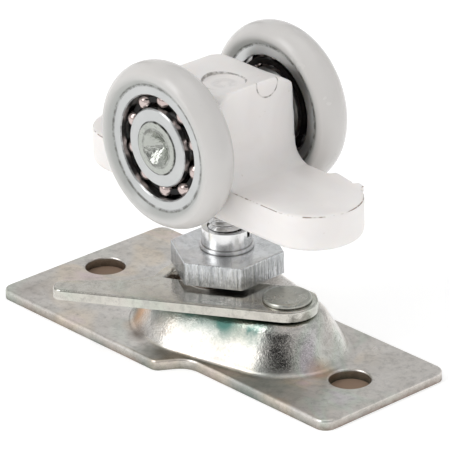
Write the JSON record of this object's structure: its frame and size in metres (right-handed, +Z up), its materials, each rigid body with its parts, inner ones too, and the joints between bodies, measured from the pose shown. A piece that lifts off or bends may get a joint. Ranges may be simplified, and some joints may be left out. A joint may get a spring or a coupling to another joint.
{
  "type": "sliding door roller",
  "caption": "Ball-bearing carriage on a height-adjusting hanger bolt, held under the dome of a screw-on door plate by a swinging latch; hangs a sliding door from a track.",
  "frame": {"origin": "midway between the two screw holes, on the door plate's underside", "axes": "+X along the door plate towards its narrow end, which is the way the carriage rolls; +Z up along the bolt; the wheels' axle lies along Y"},
  "size_m": [0.0709, 0.0411, 0.049],
  "materials": {
    "plated_sheet": "zinc plated, satin, faintly iridescent",
    "plated_lever": "zinc plated, smooth faces and rough sheared edges",
    "rivet_steel": "zinc plated, smooth satin",
    "bolt_steel": "bright zinc plated",
    "hex_steel": "zinc plated, blanked flats with vertical shear marks",
    "collar_steel": "bright zinc plated, turned",
    "body_nylon": "natural milky nylon, slightly translucent",
    "insert_steel": "plain steel",
    "axle_steel": "bright steel, peened ends",
    "tyre_nylon": "light grey nylon, semi-gloss",
    "race_steel": "ground bearing steel, satin",
    "ball_steel": "polished",
    "cage_plastic": "black moulded",
    "washer_steel": "zinc plated"
  },
  "bodies": {
    "door_plate": {"mount_plate": "plated_sheet", "latch_rivet": "rivet_steel"},
    "latch": {"latch_lever": "plated_lever"},
    "collar": {"collar_sleeve": "collar_steel"},
    "bolt": {"hanger_bolt": "bolt_steel", "adjusting_hex": "hex_steel"},
    "carriage": {"carriage_body": "body_nylon", "threaded_insert": "insert_steel", "axle_pin": "axle_steel", "front_inner_ring": "race_steel", "rear_inner_ring": "race_steel", "front_spacer_washer": "washer_steel", "rear_spacer_washer": "washer_steel"},
    "front_wheel": {"front_tyre": "tyre_nylon", "front_outer_ring": "race_steel"},
    "front_ball_set": {"front_balls": "ball_steel", "front_ball_cage": "cage_plastic"},
    "rear_wheel": {"rear_tyre": "tyre_nylon", "rear_outer_ring": "race_steel"},
    "rear_ball_set": {"rear_balls": "ball_steel", "rear_ball_cage": "cage_plastic"}
  },
  "joints": [
    {"name": "latch_swing", "type": "hinge", "parent": "door_plate", "child": "latch", "pos_m": [0.01528, -0.0005, 0.009], "axis": [0, 0, 1], "range_deg": [-14.5, 25]},
    {"name": "bolt_release", "type": "slide", "parent": "door_plate", "child": "collar", "axis": [-1, 0, 0], "range_m": [0, 0.024]},
    {"name": "bolt_turn", "type": "hinge", "parent": "collar", "child": "bolt", "pos_m": [0.00108, 0, 0.01135], "axis": [0, 0, 1], "range_deg": [-720, 720]},
    {"name": "height_adjust", "type": "slide", "parent": "collar", "child": "carriage", "axis": [0, 0, 1], "range_m": [-0.00201, 0.00201]},
    {"name": "front_wheel_roll", "type": "hinge", "parent": "carriage", "child": "front_wheel", "pos_m": [0.00108, -0.0118, 0.0357], "axis": [0, 1, 0], "continuous": true},
    {"name": "front_ball_orbit", "type": "hinge", "parent": "carriage", "child": "front_ball_set", "pos_m": [0.00108, -0.0118, 0.0357], "axis": [0, 1, 0], "continuous": true},
    {"name": "rear_wheel_roll", "type": "hinge", "parent": "carriage", "child": "rear_wheel", "pos_m": [0.00108, 0.0118, 0.0357], "axis": [0, 1, 0], "continuous": true},
    {"name": "rear_ball_orbit", "type": "hinge", "parent": "carriage", "child": "rear_ball_set", "pos_m": [0.00108, 0.0118, 0.0357], "axis": [0, 1, 0], "continuous": true}
  ],
  "couplings": [
    {"joint": "height_adjust", "follows": "bolt_turn", "m_per_rad": -0.00015915},
    {"joint": "front_ball_orbit", "follows": "front_wheel_roll", "ratio": 0.6027},
    {"joint": "rear_ball_orbit", "follows": "rear_wheel_roll", "ratio": 0.6027}
  ]
}
